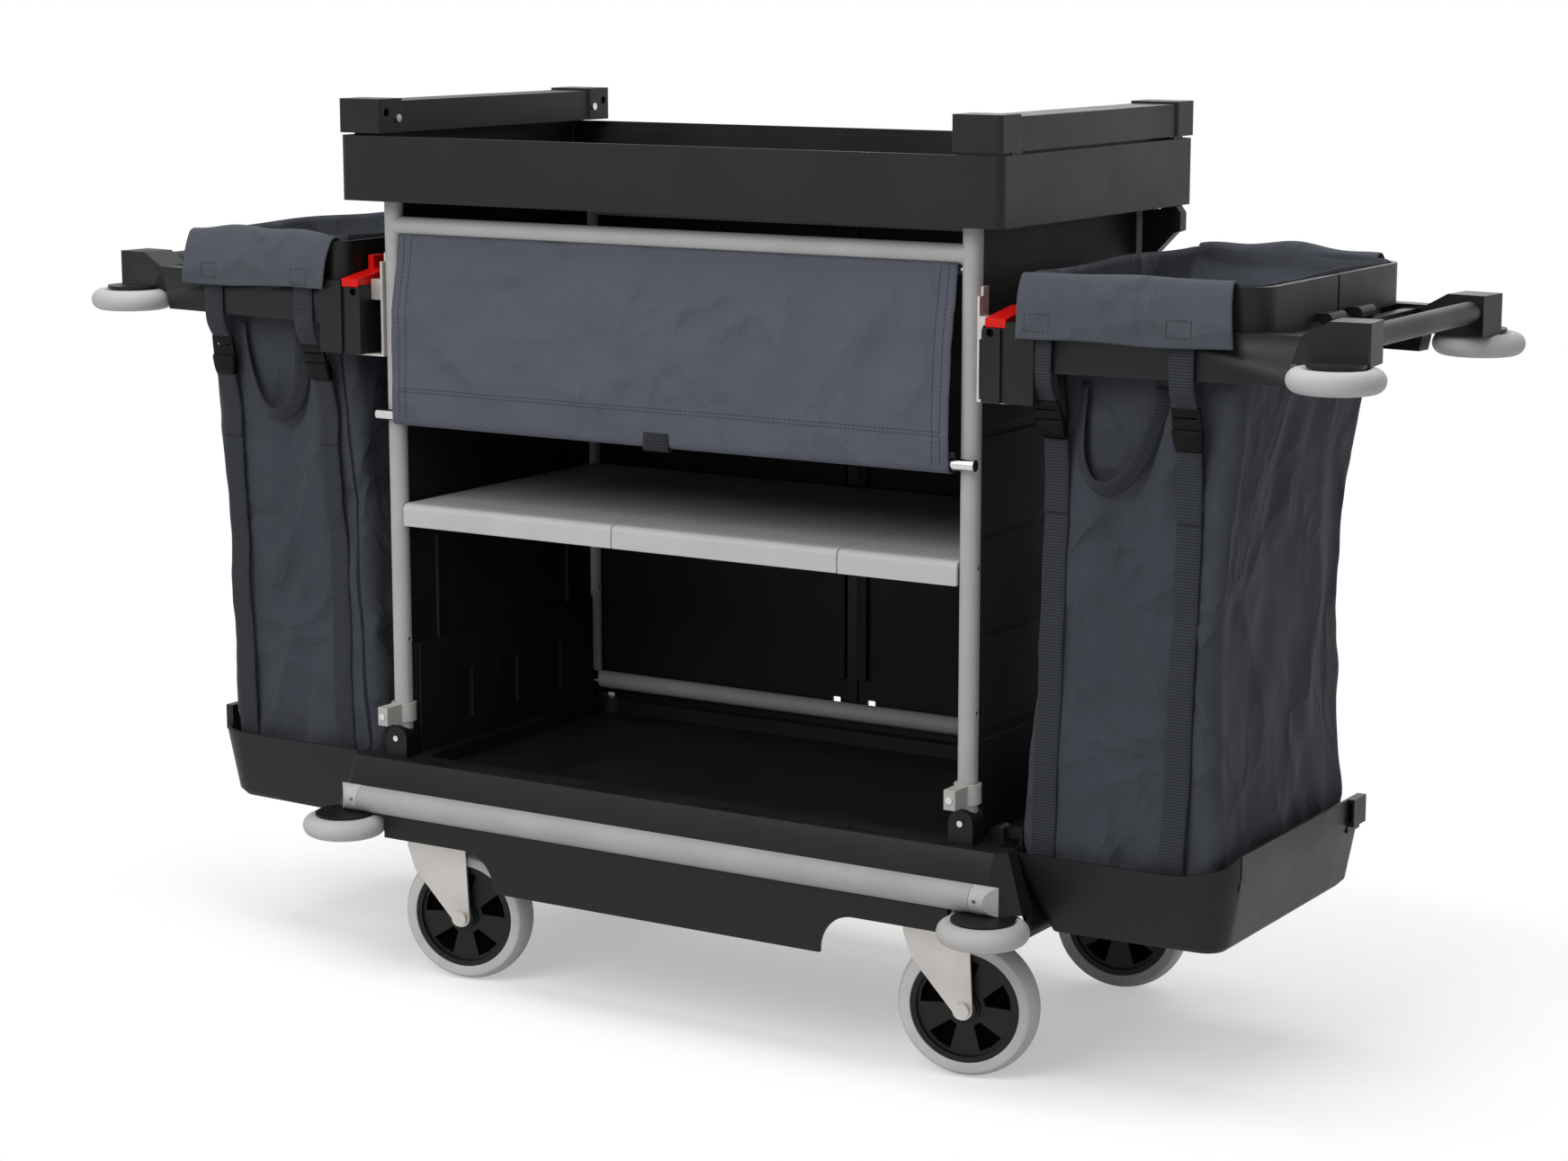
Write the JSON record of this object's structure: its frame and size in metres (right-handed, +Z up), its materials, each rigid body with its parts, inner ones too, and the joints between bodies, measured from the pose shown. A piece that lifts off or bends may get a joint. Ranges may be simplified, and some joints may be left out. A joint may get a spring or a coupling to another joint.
{
  "type": "housekeeping cart",
  "caption": "Housekeeping cart on swivel castors with a moulded deck, tube frame, top tray, shelf, roll-down blind, and a hanging bag frame over a fold-up bin at each end.",
  "frame": {"origin": "on the floor under the middle of the cart", "axes": "+X along the cart, +Y towards the rear doors, +Z up"},
  "size_m": [1.688, 0.604, 1.047],
  "materials": {
    "dark_moulding": "satin moulded polypropylene, near black",
    "black_moulding": "satin moulded nylon, black",
    "grey_bumper": "soft grey bumper polymer",
    "tube_steel": "powder coated steel tube, light grey",
    "castor_steel": "zinc plated pressed steel",
    "hub_nylon": "moulded nylon, black",
    "grey_tyre": "non-marking grey rubber",
    "shelf_moulding": "moulded polypropylene, light grey",
    "clip_moulding": "moulded nylon, light grey",
    "bright_steel": "bright plated steel",
    "blind_fabric": "woven polyester, slate grey",
    "bag_fabric": "coated woven polyester, dark slate",
    "webbing": "woven webbing, dark slate",
    "red_release": "moulded nylon, signal red"
  },
  "bodies": {
    "chassis": {"base_deck": "dark_moulding", "deck_aprons": "dark_moulding", "bumper_strips": "grey_bumper", "strip_end_caps": "grey_bumper", "buffer_hubs": "black_moulding", "castor_plates": "castor_steel", "front_posts": "tube_steel", "rear_posts": "tube_steel", "front_top_rail": "tube_steel", "rear_rails": "tube_steel", "post_feet": "black_moulding", "blind_catches": "clip_moulding", "frame_hooks": "tube_steel", "steel_screws": "bright_steel", "side_panel_left": "dark_moulding", "side_panel_right": "dark_moulding", "top_tray": "dark_moulding", "gallery_rail_left": "dark_moulding", "gallery_rail_right": "dark_moulding", "tray_brackets": "black_moulding", "shelf_planks": "shelf_moulding", "shelf_bars": "shelf_moulding", "blind_rod": "tube_steel", "blind_cloth": "blind_fabric"},
    "base_buffer_fl": {"base_buffer_fl": "grey_bumper"},
    "base_buffer_fr": {"base_buffer_fr": "grey_bumper"},
    "base_buffer_rl": {"base_buffer_rl": "grey_bumper"},
    "base_buffer_rr": {"base_buffer_rr": "grey_bumper"},
    "castor_fl": {"fork_fl": "castor_steel"},
    "wheel_fl": {"wheel_hub_fl": "hub_nylon", "tyre_fl": "grey_tyre"},
    "castor_fr": {"fork_fr": "castor_steel"},
    "wheel_fr": {"wheel_hub_fr": "hub_nylon", "tyre_fr": "grey_tyre"},
    "castor_rl": {"fork_rl": "castor_steel"},
    "wheel_rl": {"wheel_hub_rl": "hub_nylon", "tyre_rl": "grey_tyre"},
    "castor_rr": {"fork_rr": "castor_steel"},
    "wheel_rr": {"wheel_hub_rr": "hub_nylon", "tyre_rr": "grey_tyre"},
    "door_left": {"rear_door_left": "dark_moulding"},
    "door_right": {"rear_door_right": "dark_moulding"},
    "blind_weight": {"blind_bar": "bright_steel"},
    "frame_left": {"bag_frame_left": "dark_moulding", "handle_left": "dark_moulding", "bag_rim_left": "dark_moulding", "bag_left": "bag_fabric", "bag_straps_left": "webbing"},
    "latch_left": {"latch_left": "red_release"},
    "bin_left": {"bin_left": "dark_moulding"},
    "frame_right": {"bag_frame_right": "dark_moulding", "handle_right": "dark_moulding", "bag_rim_right": "dark_moulding", "bag_right": "bag_fabric", "bag_straps_right": "webbing"},
    "latch_right": {"latch_right": "red_release"},
    "bin_right": {"bin_right": "dark_moulding"},
    "arm_buffer_fl": {"arm_buffer_fl": "grey_bumper"},
    "arm_buffer_fr": {"arm_buffer_fr": "grey_bumper"},
    "arm_buffer_rl": {"arm_buffer_rl": "grey_bumper"},
    "arm_buffer_rr": {"arm_buffer_rr": "grey_bumper"}
  },
  "joints": [
    {"name": "base_buffer_fl_spin", "type": "hinge", "parent": "chassis", "child": "base_buffer_fl", "pos_m": [-0.434, -0.252, 0.187], "axis": [0, 0, 1], "continuous": true},
    {"name": "base_buffer_fr_spin", "type": "hinge", "parent": "chassis", "child": "base_buffer_fr", "pos_m": [0.434, -0.252, 0.187], "axis": [0, 0, 1], "continuous": true},
    {"name": "base_buffer_rl_spin", "type": "hinge", "parent": "chassis", "child": "base_buffer_rl", "pos_m": [-0.434, 0.252, 0.187], "axis": [0, 0, 1], "continuous": true},
    {"name": "base_buffer_rr_spin", "type": "hinge", "parent": "chassis", "child": "base_buffer_rr", "pos_m": [0.434, 0.252, 0.187], "axis": [0, 0, 1], "continuous": true},
    {"name": "castor_fl_swivel", "type": "hinge", "parent": "chassis", "child": "castor_fl", "pos_m": [-0.341, -0.19, 0.18], "axis": [0, 0, 1], "continuous": true},
    {"name": "wheel_fl_spin", "type": "hinge", "parent": "castor_fl", "child": "wheel_fl", "pos_m": [-0.30187, -0.18168, 0.08], "axis": [-0.2079, 0.9781, 0], "continuous": true},
    {"name": "castor_fr_swivel", "type": "hinge", "parent": "chassis", "child": "castor_fr", "pos_m": [0.341, -0.19, 0.18], "axis": [0, 0, 1], "continuous": true},
    {"name": "wheel_fr_spin", "type": "hinge", "parent": "castor_fr", "child": "wheel_fr", "pos_m": [0.38013, -0.18168, 0.08], "axis": [-0.2079, 0.9781, 0], "continuous": true},
    {"name": "castor_rl_swivel", "type": "hinge", "parent": "chassis", "child": "castor_rl", "pos_m": [-0.341, 0.19, 0.18], "axis": [0, 0, 1], "continuous": true},
    {"name": "wheel_rl_spin", "type": "hinge", "parent": "castor_rl", "child": "wheel_rl", "pos_m": [-0.30187, 0.19832, 0.08], "axis": [-0.2079, 0.9781, 0], "continuous": true},
    {"name": "castor_rr_swivel", "type": "hinge", "parent": "chassis", "child": "castor_rr", "pos_m": [0.341, 0.19, 0.18], "axis": [0, 0, 1], "continuous": true},
    {"name": "wheel_rr_spin", "type": "hinge", "parent": "castor_rr", "child": "wheel_rr", "pos_m": [0.38013, 0.19832, 0.08], "axis": [-0.2079, 0.9781, 0], "continuous": true},
    {"name": "door_left_swing", "type": "hinge", "parent": "chassis", "child": "door_left", "pos_m": [-0.388, 0.222, 0.6], "axis": [0, 0, 1], "range_deg": [0, 100]},
    {"name": "door_right_swing", "type": "hinge", "parent": "chassis", "child": "door_right", "pos_m": [0.388, 0.222, 0.6], "axis": [0, 0, -1], "range_deg": [0, 100]},
    {"name": "blind_pull", "type": "slide", "parent": "chassis", "child": "blind_weight", "axis": [0, 0, 1], "range_m": [-0.34, 0.18], "deforming": ["blind_cloth"]},
    {"name": "frame_left_lift", "type": "slide", "parent": "chassis", "child": "frame_left", "axis": [0, 0, 1], "range_m": [0, 0.025]},
    {"name": "latch_left_lift", "type": "slide", "parent": "frame_left", "child": "latch_left", "axis": [0, 0, 1], "range_m": [0, 0.008]},
    {"name": "bin_left_fold", "type": "hinge", "parent": "chassis", "child": "bin_left", "pos_m": [-0.411, 0, 0.276], "axis": [0, 1, 0], "range_deg": [0, 88], "deforming": ["bag_left", "bag_straps_left"]},
    {"name": "frame_right_lift", "type": "slide", "parent": "chassis", "child": "frame_right", "axis": [0, 0, 1], "range_m": [0, 0.025]},
    {"name": "latch_right_lift", "type": "slide", "parent": "frame_right", "child": "latch_right", "axis": [0, 0, 1], "range_m": [0, 0.008]},
    {"name": "bin_right_fold", "type": "hinge", "parent": "chassis", "child": "bin_right", "pos_m": [0.411, 0, 0.276], "axis": [0, -1, 0], "range_deg": [0, 88], "deforming": ["bag_right", "bag_straps_right"]},
    {"name": "arm_buffer_fl_spin", "type": "hinge", "parent": "frame_left", "child": "arm_buffer_fl", "pos_m": [-0.794, -0.199, 0.794], "axis": [0, 0, 1], "continuous": true},
    {"name": "arm_buffer_fr_spin", "type": "hinge", "parent": "frame_right", "child": "arm_buffer_fr", "pos_m": [0.794, -0.199, 0.794], "axis": [0, 0, 1], "continuous": true},
    {"name": "arm_buffer_rl_spin", "type": "hinge", "parent": "frame_left", "child": "arm_buffer_rl", "pos_m": [-0.794, 0.199, 0.794], "axis": [0, 0, 1], "continuous": true},
    {"name": "arm_buffer_rr_spin", "type": "hinge", "parent": "frame_right", "child": "arm_buffer_rr", "pos_m": [0.794, 0.199, 0.794], "axis": [0, 0, 1], "continuous": true}
  ]
}
